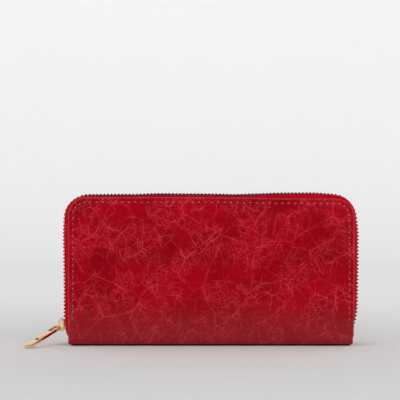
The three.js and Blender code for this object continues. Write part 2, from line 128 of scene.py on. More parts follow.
def grid_faces(rows, cols, start=0, close_cols=False, close_rows=False):
    """Quads of a grid whose points are stored row by row."""
    faces = []
    for r in range(rows if close_rows else rows - 1):
        a = start + r * cols
        b = start + (r + 1) % rows * cols
        for c in range(cols if close_cols else cols - 1):
            n = (c + 1) % cols
            faces.append((a + c, a + n, b + n, b + c))
    return faces


def loop_of(rows, cols):
    """Indices round a grid's edge: up the left, along the top, down the right, back along the foot."""
    left = [r * cols for r in range(rows)]
    top = [(rows - 1) * cols + c for c in range(1, cols)]
    right = [r * cols + cols - 1 for r in range(rows - 2, -1, -1)]
    foot = [c for c in range(cols - 2, 0, -1)]
    return np.array(left + top + right + foot)


def sheet(name, front, back, look, cut):
    """A closed sheet between two grids of points."""
    rows, cols = front.shape[:2]
    base = rows * cols
    loop = loop_of(rows, cols)
    faces = grid_faces(rows, cols) + [f[::-1] for f in grid_faces(rows, cols, base)]
    for here, after in zip(loop, np.roll(loop, -1)):
        faces.append((after, here, here + base, after + base))
    points = np.concatenate([front.reshape(-1, 3), back.reshape(-1, 3)])
    spots = np.concatenate([cut.reshape(-1, 3), cut.reshape(-1, 3)])
    return make(name, points, faces, [look], cut=spots)


class Pile:
    """Collects many small parts into one mesh."""

    def __init__(self):
        self.points, self.faces, self.looks = [], [], []
        self.count = 0

    def add(self, points, faces, look=0):
        self.points.append(np.asarray(points, float))
        self.faces += [tuple(i + self.count for i in f) for f in faces]
        self.looks += [look] * len(faces)
        self.count += len(points)

    def build(self, name, looks, sharp=35):
        return make(name, np.concatenate(self.points), self.faces, looks, self.looks, sharp=sharp)


def loft(rings):
    """A closed solid through rings of equal length."""
    rings = np.asarray(rings, float)
    count, size = rings.shape[:2]
    faces = grid_faces(count, size, close_cols=True)
    faces.append(tuple(range(size))[::-1])
    faces.append(tuple((count - 1) * size + i for i in range(size)))
    return rings.reshape(-1, 3), faces


def smooth(value, low, high):
    t = np.clip((np.asarray(value, float) - low) / (high - low), 0, 1)
    return t * t * (3 - 2 * t)


def bump(value, middle, width):
    return np.exp(-(((np.asarray(value, float) - middle) / width) ** 2))


def waves(x, y, size, seed):
    """Smooth noise from about -1 to 1, one value for each point."""
    flat_x, flat_y = np.broadcast_arrays(x, y)
    values = [
        noise.noise(Vector((a / size + seed, b / size - seed, seed)))
        for a, b in zip(flat_x.ravel(), flat_y.ravel())
    ]
    return np.array(values).reshape(flat_x.shape)


def soften(obj, width, segments=2):
    """Rounds a piece's edges."""
    edge = obj.modifiers.new("rounded edges", "BEVEL")
    edge.width = width * MM
    edge.segments = segments
    edge.limit_method = "ANGLE"
    edge.angle_limit = radians(30)
    edge.harden_normals = True
    return obj


def prism(outline, low, high):
    """A solid whose outline, a list of (y, z), runs along X from low to high."""
    return loft([np.insert(np.asarray(outline, float), 0, x, axis=1) for x in (low, high)])


def run_along(path):
    """The distance from a path's start to each of its points."""
    return np.concatenate([[0], np.cumsum(np.hypot(*np.diff(path, axis=0).T))])


def squarish(angle, power):
    """The cosine and sine of an angle, pushed out towards a square."""
    return [copysign(abs(v) ** power, v) for v in (cos(angle), sin(angle))]


def arc(cx, cy, r, start, end, steps):
    angles = np.radians(np.linspace(start, end, steps + 1))
    return [(cx + r * cos(a), cy + r * sin(a)) for a in angles]


def bench(node, name, look, body, slot, edge, trim=0.0, low=None):
    """A CAD solid's shape with its flat faces whole again and its edges rounded.

    trim shortens it at both ends, and low is the height that it starts at, in mm.
    """
    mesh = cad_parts[node].data.copy()
    mesh.materials.clear()
    mesh.materials.append(look)
    work = bmesh.new()
    work.from_mesh(mesh)
    bmesh.ops.remove_doubles(work, verts=work.verts, dist=1e-6)
    bmesh.ops.dissolve_limit(work, angle_limit=radians(1), verts=work.verts, edges=work.edges)
    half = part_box(node)[1][0]
    for vert in work.verts:
        if trim:
            vert.co.x *= 1 - trim * MM / half
        if low is not None:
            vert.co.z = max(vert.co.z, low * MM)
    work.to_mesh(mesh)
    work.free()
    mark_cut(mesh, np.array([v.co for v in mesh.vertices]) / MM)
    return place(soften(link(name, mesh), edge), body, slot, node)


# ---- materials ----

class Look:
    """A principled material and short ways to add nodes to it."""

    def __init__(self, name, roughness, metallic=0.0, specular=0.5):
        self.material = bpy.data.materials.new(name)
        self.material.use_nodes = True
        self.tree = self.material.node_tree
        self.shader = self.tree.nodes["Principled BSDF"]
        self.set(Roughness=roughness, Metallic=metallic, Specular_IOR_Level=specular)

    def add(self, kind, inputs=None, output=0, **settings):
        node = self.tree.nodes.new(kind)
        for key, value in settings.items():
            setattr(node, key, value)
        for key, value in (inputs or {}).items():
            self.put(node.inputs[key], value)
        return node.outputs[output]

    def put(self, socket, value):
        if isinstance(value, bpy.types.NodeSocket):
            self.tree.links.new(value, socket)
        else:
            socket.default_value = value

    def set(self, **inputs):
        for key, value in inputs.items():
            self.put(self.shader.inputs[key.replace("_", " ")], value)

    def cut(self):
        return self.add("ShaderNodeAttribute", output="Vector", attribute_name="cut")

    def noise(self, vector, size, detail=3.0, rough=0.55, output=0):
        settings = {"Vector": vector, "Scale": 1 / size, "Detail": detail, "Roughness": rough}
        return self.add("ShaderNodeTexNoise", settings, output)

    def ramp(self, value, low, high, to_low=0.0, to_high=1.0):
        inputs = {0: value, 1: low, 2: high, 3: to_low, 4: to_high}
        kind = {"interpolation_type": "SMOOTHSTEP"}
        return self.add("ShaderNodeMapRange", inputs, **kind)

    def math(self, operation, a, b=0.5):
        return self.add("ShaderNodeMath", {0: a, 1: b}, operation=operation)

    def times(self, a, b):
        return self.math("MULTIPLY", a, b)

    def plus(self, a, b):
        return self.math("ADD", a, b)

    def vector(self, operation, a, b):
        return self.add("ShaderNodeVectorMath", {0: a, 1: b}, operation=operation)

    def mix(self, share, a, b):
        a = (*a, 1) if isinstance(a, tuple) and len(a) == 3 else a
        b = (*b, 1) if isinstance(b, tuple) and len(b) == 3 else b
        inputs = {0: share, 6: a, 7: b}
        return self.add("ShaderNodeMix", inputs, 2, data_type="RGBA")

    def bumpy(self, height, distance, strength=1.0, under=None):
        inputs = {"Height": height, "Distance": distance * MM, "Strength": strength}
        if under is not None:
            inputs["Normal"] = under
        return self.add("ShaderNodeBump", inputs)


def warped(look, place_of, size, reach, seed):
    """The place on the material, pushed about by noise, so that lines along it wander."""
    moved = look.vector("ADD", place_of, (seed, seed * 1.7, 0))
    push = look.vector("SUBTRACT", look.noise(moved, size, 3, 0.5, 1), (0.5, 0.5, 0.5))
    return look.vector("ADD", moved, look.vector("MULTIPLY", push, (reach, reach, 0)))


def cracks(look, place_of, cell, width, seed, reach, turn):
    """Thin lines between stretched cells of about that size, from 0 to 1 on the line."""
    turned = look.add("ShaderNodeVectorRotate", {"Vector": place_of, "Angle": turn})
    drawn = look.vector("MULTIPLY", turned, (1.25, 0.8, 0))
    path = warped(look, drawn, cell * 0.7, reach, seed)
    inputs = {"Vector": path, "Scale": 1 / cell, "Randomness": 1.0}
    kind = {"feature": "DISTANCE_TO_EDGE", "voronoi_dimensions": "2D"}
    edge = look.add("ShaderNodeTexVoronoi", inputs, 0, **kind)
    return look.ramp(edge, 0.0, width / cell, 1.0, 0.0), edge


DARK_RED = (0.285, 0.0, 0.0052)
MID_RED = (0.445, 0.0, 0.0105)
LIGHT_RED = (0.57, 0.003, 0.027)
VEIN = (0.76, 0.100, 0.120)
# Pale edge colour: partly real wear and partly a painted highlight along the rounded edge.
EDGE_WEAR_AND_HIGHLIGHT = (0.70, 0.095, 0.090)
# Painted shade with a greyish painted floor reflection, for the lower part of the face.
LOW_SHADE_AND_REFLECTION = (0.30, 0.018, 0.024)
# Painted shade for the fold's underside and a painted shadow up its foot.
UNDERSIDE_SHADE = (0.030, 0.004, 0.004)

# In the covers' cut attribute, Y starts at the spine's middle from this far below zero on the front
# cover, and from this far above it on the back cover.
SIDE_GAP = 300

# Distances from the spine's middle, over the leather: where the painted shade of its underside ends, where
# the weaker painted shadow up its foot fades out, and where the painted shade and greyish floor reflection
# low on the face do.
FOLD_DARK = (12.4, 13.1)
FOOT_SHADOW_RUN = (14.2, 16.5)
LOW_SHADE_RUN = (24, 54)

# Distances from the panel's edge: where its pale edge line, partly real wear and partly a painted
# highlight, fades out, and where the painted shade of the underside fades in.
WEAR_AND_HIGHLIGHT_RUN = (0.4, 0.85)
SHADE_RUN = (0.6, 2.4)

# Layers of cracks: cell size, width, seed, how far they wander, turn, and how strong they are in
# quiet and in busy areas.
CRACK_LAYERS = (
    (21, 0.24, 3.1, 6.5, 0.7, 0.5, 1.0),
    (12, 0.22, 47.7, 5.2, -0.5, 0.35, 0.95),
    (6.5, 0.20, 81.3, 3.2, 1.1, 0.1, 0.8),
    (3.6, 0.18, 23.9, 1.9, 0.2, 0.0, 0.6),
    (2.0, 0.15, 12.7, 1.1, 0.9, 0.0, 0.6),
)


def red_leather():
    """Deep red leather whose finish has cracked into branching pale lines, in busy and quiet areas."""
    look = Look("red crackled leather", 0.44, specular=0.04)
    cut = look.cut()
    flat = look.vector("MULTIPLY", cut, (1, 1, 0))
    shade = look.noise(flat, 30, 3, 0.5)
    mottle = look.noise(look.vector("ADD", flat, (61, 17, 0)), 6, 4, 0.6)
    grain = look.noise(flat, 1.1, 3, 0.7)
    where = look.noise(look.vector("ADD", flat, (-37, 90, 0)), 20, 3, 0.55)
    busy = look.ramp(where, 0.42, 0.6)
    tone = look.plus(look.times(shade, 0.5), look.times(mottle, 0.17))
    tone = look.plus(tone, look.times(grain, 0.33))
    colour = look.mix(look.ramp(tone, 0.38, 0.60), DARK_RED, MID_RED)
    along = look.add("ShaderNodeSeparateXYZ", {0: cut}, "Y")
    apart = look.add("ShaderNodeSeparateXYZ", {0: cut}, "Z")
    up = look.math("ABSOLUTE", look.math("SUBTRACT", look.math("ABSOLUTE", along), SIDE_GAP))
    # Painted shade and greyish painted floor reflection: the face is darker and greyer low down, in ragged
    # patches.
    low_shade_height = look.plus(up, look.times(mottle, 16))
    low_shade = look.times(look.ramp(low_shade_height, *LOW_SHADE_RUN, 0.85, 0.0), look.ramp(grain, 0.3, 0.6, 0.8, 1.0))
    lines = glow = 0.0
    for cell, width, seed, reach, turn, quiet, most in CRACK_LAYERS:
        line, edge = cracks(look, flat, cell, width, seed, reach, turn)
        gap = look.noise(look.vector("ADD", flat, (seed, -2 * seed, 0)), 0.3 * cell + 4, 4, 0.6)
        whole = 0.002 * cell  # the long cracks are less broken up than the short ones
        unbroken = look.ramp(gap, 0.43 - whole, 0.6 - whole)
        kept = look.times(unbroken, look.ramp(where, 0.38, 0.56, quiet, most))
        lines = look.math("MAXIMUM", lines, look.times(line, kept))
        halo = look.times(look.ramp(edge, 0.0, 0.12, 0.55, 0.0), kept)
        glow = look.math("MAXIMUM", glow, halo)
    haze = look.times(busy, look.ramp(mottle, 0.42, 0.66, 0.0, 0.7))
    haze = look.times(haze, look.ramp(grain, 0.35, 0.6, 0.3, 1.0))
    colour = look.mix(look.math("MAXIMUM", glow, haze), colour, LIGHT_RED)
    colour = look.mix(low_shade, colour, LOW_SHADE_AND_REFLECTION)
    colour = look.mix(look.times(lines, 0.74), colour, VEIN)
    # The pale edge line is partly real wear and partly a painted highlight of the rounded edge.
    worn_and_highlit = look.ramp(look.plus(apart, look.times(mottle, 0.5)), *WEAR_AND_HIGHLIGHT_RUN, 0.8, 0.0)
    colour = look.mix(worn_and_highlit, colour, EDGE_WEAR_AND_HIGHLIGHT)
    # Painted shade: the fold's underside is painted near black and a weaker painted shadow runs up the
    # foot, both faded in away from the panel's edge.
    dark = look.ramp(up, *FOLD_DARK, 0.9, 0.0)
    foot_shadow = look.ramp(up, *FOOT_SHADOW_RUN, 0.2, 0.0)
    shaded = look.times(look.math("MAXIMUM", dark, foot_shadow), look.ramp(apart, *SHADE_RUN))
    colour = look.mix(shaded, colour, UNDERSIDE_SHADE)
    look.set(Base_Color=colour)
    look.set(Roughness=look.ramp(tone, 0.35, 0.62, 0.38, 0.52))
    coarse = look.bumpy(mottle, 0.12, 0.5)
    creased = look.bumpy(lines, 0.06, 0.6, coarse)
    look.set(Normal=look.bumpy(grain, 0.03, 0.7, creased))
    return look.material


def cloth(name, dark, light, thread, roughness, rib=1.0, specular=0.1, sheen=0.04):
    """Woven cloth: two crossing sets of threads, a slanted rib and faded patches."""
    look = Look(name, roughness, specular=specular)
    place_of = look.cut()
    turned = look.add("ShaderNodeVectorRotate", {"Vector": place_of, "Angle": 0.78})
    settings = {"Scale": 1 / thread, "Distortion": 0.4, "Detail": 1.0}
    warp = look.add("ShaderNodeTexWave", {"Vector": turned, **settings}, 1, bands_direction="X")
    weft = look.add("ShaderNodeTexWave", {"Vector": turned, **settings}, 1, bands_direction="Y")
    weave = look.times(look.plus(warp, weft), 0.5)
    patch = look.noise(place_of, 7, 4, 0.6)
    fuzz = look.noise(place_of, 0.5, 2, 0.7)
    tone = look.plus(look.times(weave, 0.5), look.times(patch, 0.5))
    look.set(Base_Color=look.mix(look.ramp(tone, 0.3, 0.7), dark, light))
    look.set(Sheen_Weight=sheen, Sheen_Roughness=0.5)
    woven = look.bumpy(weave, 0.09 * rib, 0.7)
    look.set(Normal=look.bumpy(fuzz, 0.04, 0.4, woven))
    return look.material


def metal(name, colour, shade, roughness, scratch=0.02):
    """Plated metal with faint brushing, small scratches and uneven gloss."""
    look = Look(name, roughness, metallic=1.0)
    place_of = look.cut()
    cloudy = look.noise(place_of, 3.5, 4, 0.6)
    stretched = look.vector("MULTIPLY", place_of, (1, 6, 6))
    brushed = look.noise(stretched, 0.8, 3, 0.7)
    look.set(Base_Color=look.mix(look.ramp(cloudy, 0.35, 0.7), colour, shade))
    look.set(Roughness=look.ramp(brushed, 0.3, 0.7, roughness * 0.75, roughness * 1.35))
    look.set(Normal=look.bumpy(brushed, scratch, 0.5))
    return look.material


def twisted_thread(name, colour, shade):
    """Twisted sewing thread: slanted ply lines and a waxed shine."""
    look = Look(name, 0.5, specular=0.4)
    place_of = look.cut()
    ply = look.add(
        "ShaderNodeTexWave",
        {"Vector": place_of, "Scale": 1.1, "Distortion": 0.6, "Detail": 1.0},
        1,
        bands_direction="DIAGONAL",
    )
    fade = look.noise(place_of, 4, 3, 0.6)
    tone = look.times(look.plus(ply, fade), 0.5)
    look.set(Base_Color=look.mix(look.ramp(tone, 0.3, 0.7), shade, colour))
    look.set(Normal=look.bumpy(ply, 0.05, 0.8))
    return look.material


def board():
    look = Look("grey stiffener board", 0.9, specular=0.2)
    fibre = look.noise(look.vector("MULTIPLY", look.cut(), (1, 1, 3)), 1.3, 5, 0.7)
    look.set(Base_Color=look.mix(look.ramp(fibre, 0.35, 0.65), (0.27, 0.22, 0.16), (0.42, 0.36, 0.27)))
    look.set(Normal=look.bumpy(fibre, 0.05, 0.6))
    return look.material


LEATHER = red_leather()
TAPE = cloth("red zip tape", (0.50, 0.0012, 0.011), (0.74, 0.008, 0.032), 0.55, 0.72, 1.0, 0.0, 0.0)
LINING = cloth("red woven lining", (0.13, 0.003, 0.010), (0.24, 0.010, 0.022), 0.8, 0.8)
BOARD = board()
THREAD = twisted_thread("pale seam thread", (0.50, 0.30, 0.24), (0.34, 0.13, 0.10))
RED_THREAD = twisted_thread("red seam thread", (0.62, 0.022, 0.016), (0.42, 0.006, 0.010))
# Needle holes: dark flat marks, painted shade in place of the holes' recesses.
HOLE_SHADE = twisted_thread("needle hole", (0.035, 0.002, 0.003), (0.02, 0.001, 0.002))
BLACK = metal("blackened zip metal", (0.030, 0.026, 0.027), (0.012, 0.010, 0.011), 0.34)
GOLD = metal("pale gold plate", (0.92, 0.65, 0.40), (0.84, 0.54, 0.29), 0.16, 0.01)
# Painted shade for the wall of the pull's small round hole.
PULL_HOLE_SHADE = metal("pull hole painted shade", (0.16, 0.085, 0.04), (0.10, 0.05, 0.02), 0.6)
COIL = cloth("red nylon coil", (0.26, 0.006, 0.014), (0.34, 0.012, 0.022), 0.4, 0.35, 0.4)


# ---- how the closed wallet lies ----

def panel_shift(x, z):
    """The panels aren't quite square: the top edge falls to the right and the right foot is drawn in."""
    fall = (0.75 - 0.85 * smooth(x, -5, 60)) * smooth(z, 40, TOP)
    foot = -1.1 * smooth(x, 60, HALF_W) * smooth(-z, -22, 2)
    return foot, fall


# How far the zip is drawn in towards the panels, at distances along it from its left foot.
DRAWN_IN = (
    (-6, 4.8), (-2, 3.4), (0, 1.6), (3, 0.8), (10, 0.45), (31, 0.45), (46, 0.25), (60, 0.0), (70, -0.2),
    (79, 0.4), (90, 1.1), (100, 1.35), (118, 1.15), (132, 1.2), (142, 0.6), (160, 0.8), (182, 0.9),
    (195, 1.3), (210, 0.8), (224, 0.3), (248, 0.2), (262, 1.1), (272, 2.0), (280, 1.6), (290, 0.3),
    (316, 0.5), (342, 1.0), (349, 2.1), (356, 4.0), (366, 5.4),
)


def drawn_in(distance):
    knots = np.array(DRAWN_IN, float)
    total = sum(np.interp(distance + d, knots[:, 0], knots[:, 1]) for d in (-4, -2, 0, 2, 4))
    return total / 5


def corner_dip(distance):
    """At the two corners the teeth sink behind the tape."""
    return 0.5 * (bump(distance, 89, 6.5) + bump(distance, 270.5, 7.5))


def tape_swell(distance):
    """The tape stands fuller on the sides and round the corners than along the top."""
    sides = 0.45 * (1 - smooth(distance, 76, 96)) + 0.35 * smooth(distance, 226, 242)
    return sides + 0.45 * (bump(distance, 87, 8) + bump(distance, 270.5, 8))


def arch(distance):
    """Point and outward direction on the panel's outline, from the zip's left foot: x, z, nx, nz."""
    s = np.asarray(distance, float)
    centre_x = HALF_W - CORNER_R
    centre_z = TOP - CORNER_R
    turn_left = np.clip((s - ARCH_SIDE) / CORNER_R, 0, pi / 2)
    past_top = s - ARCH_SIDE - ARCH_CORNER - ARCH_TOP
    turn_right = np.clip(past_top / CORNER_R, 0, pi / 2)
    angle = pi - turn_left - turn_right
    along_top = np.clip(s - ARCH_SIDE - ARCH_CORNER, 0, ARCH_TOP)
    nx, nz = np.cos(angle), np.sin(angle)
    x = -centre_x + along_top + CORNER_R * nx
    rise = np.minimum(s - ARCH_SIDE, 0)
    fall = np.minimum(ARCH_LENGTH - ARCH_SIDE - s, 0)
    z = centre_z + CORNER_R * nz + rise + fall
    return x, z, nx, nz


def zip_point(distance, offset, y):
    """A point of the zip, in mm."""
    x, z, nx, nz = arch(distance)
    share = np.clip(np.asarray(offset, float) / 1.9, 0, 1)
    reach = offset - share * drawn_in(distance)
    return xyz(x + nx * reach, y, z + nz * reach)


# ---- outer leather ----

SHEET_T = 1.15
RIM = 0.9  # radius of the rounded edge
LIP = 2.15  # thickness of the edge where the leather is turned in
EDGE_BAND = 6.0  # width of the strip with finer columns
SEAM_INSET = 3.1


def half_width(z):
    """Half the panel's width at a height, with its rounded top corners and feet."""
    z = np.asarray(z, float)
    up = np.clip(z - (TOP - CORNER_R), 0, CORNER_R)
    down = np.clip(FOOT_R - z, 0, FOOT_R)
    top = CORNER_R - np.sqrt(CORNER_R ** 2 - up ** 2)
    foot = FOOT_R - np.sqrt(FOOT_R ** 2 - down ** 2)
    return HALF_W - top - foot


def edge_distance(x, z):
    """Distance from the panel's outline inwards."""
    across = np.abs(x) - (HALF_W - CORNER_R)
    up = z - (TOP - CORNER_R)
    corner = CORNER_R - np.hypot(np.maximum(across, 0), np.maximum(up, 0))
    side = np.minimum(half_width(np.minimum(z, TOP - CORNER_R)) - np.abs(x), TOP - z)
    return np.where((across > 0) & (up > 0), corner, side)


# The leather's way from under the spine to the upright face, as |y| and z: the spine stands a
# little proud, so that the covers' feet hang just clear of the table.
FOLD_CORNERS = (
    (8.0, 0.0), (8.7, 0.0), (9.2, 0.55), (9.9, 1.05), (11.0, 1.1), (12.0, 1.15), (12.5, 1.7), (12.5, 2.6),
)


def rounded_path(corners):
    """Cuts a path's corners off again and again, which leaves a smooth path with the same ends."""
    path = np.array(corners, float)
    for _ in range(3):
        near = path[:-1] * 0.75 + path[1:] * 0.25
        far = path[:-1] * 0.25 + path[1:] * 0.75
        path = np.vstack([path[:1], np.stack([near, far], 1).reshape(-1, 2), path[-1:]])
    return path


FOLD_PATH = rounded_path(FOLD_CORNERS)
FOLD_RUN = run_along(FOLD_PATH)
FACE_FOOT = SPINE_EDGE + FOLD_RUN[-1]  # t where the upright face starts
FOLD_RISE = FOLD_PATH[-1, 1]


def fold_point(t):
    """|y|, z and the inward direction of the leather's outer surface."""
    run = np.clip(np.asarray(t, float) - SPINE_EDGE, 0, FOLD_RUN[-1])
    y = np.interp(run, FOLD_RUN, FOLD_PATH[:, 0])
    z = np.interp(run, FOLD_RUN, FOLD_PATH[:, 1])
    slopes = np.gradient(FOLD_PATH, FOLD_RUN, axis=0)
    along_y = np.interp(run, FOLD_RUN, slopes[:, 0])
    along_z = np.interp(run, FOLD_RUN, slopes[:, 1])
    length = np.hypot(along_y, along_z)
    return y, z, -along_z / length, along_y / length


def height_of(t):
    return fold_point(t)[1] + np.maximum(t - FACE_FOOT, 0)


def wrap(x, t, depth, side):
    """A point of the leather: t runs from the spine's middle, round the soft fold and up the face."""
    y, z, in_y, in_z = fold_point(t)
    thin = 0.35 + 0.65 * smooth(t, FACE_FOOT - 0.5, FACE_FOOT + 3)
    out = y + depth * thin * in_y
    up = z + np.maximum(t - FACE_FOOT, 0) + depth * thin * in_z
    shift_x, shift_z = panel_shift(x, up)
    return xyz(x + shift_x, side * out, up + shift_z)


def relief(x, t, side):
    """How far the leather's surface lies below the flat: the sewn channel, the padded margin, waves."""
    z = height_of(t)
    apart = edge_distance(x, z)
    on_face = smooth(z, 1, 5)
    channel = 0.24 * bump(apart, SEAM_INSET, 0.65) * on_face
    margin = -0.12 * bump(apart, 1.7, 0.8) * on_face
    inside = smooth(apart, 3, 9) * on_face
    slow = 0.16 * waves(x, z + 200 * side, 34, 2.3)
    quick = 0.05 * waves(x, z + 200 * side, 6.5, 7.9)
    return channel + margin + inside * (slow - 0.08) + quick * smooth(apart, 0.5, 2)


def cover_rows():
    fold = np.linspace(SPINE_EDGE, FACE_FOOT, 23)
    straight = TOP - CORNER_R - FOLD_RISE
    face = FACE_FOOT + np.linspace(0, straight, 66)[1:]
    corner = (CORNER_R - RIM) * np.sin(np.radians(np.linspace(0, 90, 27)))[1:]
    return np.concatenate([fold, face, FACE_FOOT + straight + corner])


def cover_columns(rows):
    """x of each column in each row: fine near the two sides, even between them."""
    z = height_of(rows)
    inner_corner = np.clip(z - (TOP - CORNER_R), 0, CORNER_R - RIM)
    rounded = (CORNER_R - RIM) - np.sqrt((CORNER_R - RIM) ** 2 - inner_corner ** 2)
    foot = HALF_W - half_width(np.minimum(z, TOP - CORNER_R))
    half = HALF_W - RIM - rounded - foot
    band = np.linspace(0, EDGE_BAND, 15)
    middle = np.linspace(-1, 1, 142)[1:-1]
    left = -half[:, None] + band[None, :]
    right = half[:, None] - band[None, ::-1]
    between = (half[:, None] - EDGE_BAND) * middle[None, :]
    return np.concatenate([left, between, right], axis=1)


def cover_leather(name, side):
    """A cover's leather: its face and inside, joined by a rounded edge that is turned in."""
    rows_t = cover_rows()
    x = cover_columns(rows_t)
    rows, cols = x.shape
    t = np.repeat(rows_t[:, None], cols, axis=1)
    outer = wrap(x, t, relief(x, t, side), side).reshape(-1, 3)
    inner = wrap(x, t, SHEET_T, side).reshape(-1, 3)
    apart = edge_distance(x, height_of(t))
    place_of = xyz(x, t + SIDE_GAP * side, apart).reshape(-1, 3)

    loop = loop_of(rows, cols)
    loop_x, loop_t = x.ravel()[loop], t.ravel()[loop]
    z = height_of(loop_t)
    across = np.maximum(np.abs(loop_x) - (HALF_W - CORNER_R), 0) * np.sign(loop_x)
    up = np.maximum(z - (TOP - CORNER_R), 0)
    length = np.maximum(np.hypot(across, up), 1e-9)
    out_x, out_z = across / length, up / length
    at_foot = (loop >= 1) & (loop <= cols - 2)
    ends = (loop == 0) | (loop == cols - 1)
    out_x[at_foot] = 0
    out_z[at_foot] = 0
    lip = SHEET_T + (LIP - SHEET_T) * smooth(z, 1.5, 4)
    start = relief(loop_x, loop_t, side)
    rim = []
    for a in np.radians((18, 36, 54, 72, 90)):
        depth = RIM * (1 - cos(a))
        depth = depth + start * (1 - depth / RIM)
        rim.append((RIM * sin(a), np.minimum(depth, SHEET_T)))
    rim += [(RIM, lip - 0.12), (RIM - 0.12, lip), (RIM - 0.5, lip), (0.3, SHEET_T + 0.05)]
    steps = len(rim)
    rings = []
    for k, (reach, depth) in enumerate(rim):
        depth = np.where(at_foot | ends, SHEET_T * (k + 1) / (steps + 1), depth)
        rings.append(wrap(loop_x + out_x * reach, loop_t + out_z * reach, depth, side))
    count = len(loop)
    base = rows * cols
    points = np.concatenate([outer, inner] + rings)
    # A cut z of 0.4 gives the rim the full pale edge colour, part wear and part painted highlight, and
    # none of the painted underside shade.
    ring_place = xyz(loop_x, loop_t + SIDE_GAP * side, 0.4)
    cuts = np.concatenate([place_of, place_of] + [ring_place] * steps)
    faces = grid_faces(rows, cols) + [f[::-1] for f in grid_faces(rows, cols, base)]
    chain = [loop] + [2 * base + k * count + np.arange(count) for k in range(steps)] + [loop + base]
    for near, far in zip(chain, chain[1:]):
        for i in range(count):
            n = (i + 1) % count
            faces.append((near[n], near[i], far[i], far[n]))
    obj = make(name, points, faces, [LEATHER], cut=cuts, sharp=60)
    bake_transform(obj)
    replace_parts(obj, "front_leather" if side < 0 else "back_leather")
    return obj


def spine_leather():
    """The strip under the spine, which joins the two covers' leather and turns up at its ends."""
    half = HALF_W - FOOT_R
    thin = SHEET_T * 0.35
    bend = thin + 0.02
    outside = ((0, 2.75), (0, 1.9), (0, 1.1), (0, 0.35), (0.1, 0.1), (0.35, 0))
    inside = ((thin, 2.75), (thin, 1.9), (thin, 1.1), (thin, 0.5), (bend, bend), (0.6, thin))
    flat = np.linspace(-half + 1, half - 1, 142)
    strips = []
    for end, level in ((np.array(outside), 0), (np.array(inside), thin)):
        x = np.concatenate([end[:, 0] - half, flat, half - end[::-1, 0]])
        z = np.concatenate([end[:, 1], 0 * flat + level, end[::-1, 1]])
        strips.append((x, z))
    (x_low, z_low), (x_high, z_high) = strips
    y = np.linspace(-SPINE_EDGE, SPINE_EDGE, 13)
    grid_x, grid_y = np.meshgrid(x_low, y)
    quick = 0.05 * waves(grid_x, grid_y, 6.5, 7.9) * smooth(SPINE_EDGE - np.abs(grid_y), 0, 2)
    shift = panel_shift(grid_x, np.zeros_like(grid_x))[0]
    low = xyz(grid_x + shift, grid_y, np.maximum(quick, 0) + z_low)
    high = xyz(x_high + shift, grid_y, z_high)
    obj = sheet("spine_skin", low, high, LEATHER, xyz(grid_x, grid_y, 5.0))
    return place(obj, "spine", "red_leather", "spine_leather")


for side_name, side in SIDES:
    cover_leather(f"{side_name}_skin", side)
spine_leather()


# ---- seam ----

SEAM_FOOT = 4.7
STITCH_PITCH = 3.7
SIDE_STITCHES = 21
TOP_STITCHES = 39
RED_BELOW = 16.5  # height under which the thread is red all the way


def seam_stops():
    """Distances along the outline of the stitches' middles."""
    corner = (CORNER_R - SEAM_INSET) * pi / 2
    around = round(corner / STITCH_PITCH)
    low = SEAM_FOOT - ZIP_FOOT
    spots = []
    for start, end, count in (
        (low, ARCH_SIDE, SIDE_STITCHES),
        (ARCH_SIDE, ARCH_SIDE + ARCH_CORNER, around),
        (ARCH_SIDE + ARCH_CORNER, ARCH_SIDE + ARCH_CORNER + ARCH_TOP, TOP_STITCHES),
        (ARCH_LENGTH - ARCH_SIDE - ARCH_CORNER, ARCH_LENGTH - ARCH_SIDE, around),
        (ARCH_LENGTH - ARCH_SIDE, ARCH_LENGTH - low, SIDE_STITCHES),
    ):
        step = (end - start) / count
        spots += [start + step * (k + 0.5) for k in range(count)]
    return spots


def stitch_rings(length, width, height, sink):
    """A stitch along its first axis: rounded ends that dive into the leather, and a crowned middle."""
    stations = (-0.5, -0.42, -0.25, 0.0, 0.25, 0.42, 0.5)
    sizes = (0.3, 0.72, 0.95, 1.0, 0.95, 0.72, 0.3)
    drops = (0.75, 0.35, 0.08, 0.0, 0.08, 0.35, 0.75)
    rings = []
    for station, size, drop in zip(stations, sizes, drops):
        ring = []
        for k in range(8):
            a = 2 * pi * k / 8
            across = 0.5 * width * size * cos(a)
            out = 0.5 * height * size * sin(a) - drop * height - sink
            ring.append((station * length, across, out))
        rings.append(ring)
    return np.array(rings)


def on_outline(local, distance, inset, face, side):
    """Local (along, across, out) points set on the panel's face at a distance along its outline."""
    x, z, nx, nz = arch(distance)
    centre_x, centre_z = x - nx * inset, z - nz * inset
    along_x, along_z = nz, -nx
    px = centre_x + local[..., 0] * along_x + local[..., 1] * nx
    pz = centre_z + local[..., 0] * along_z + local[..., 1] * nz
    shift_x, shift_z = panel_shift(px, pz)
    return xyz(px + shift_x, side * (face + local[..., 2]), pz + shift_z)


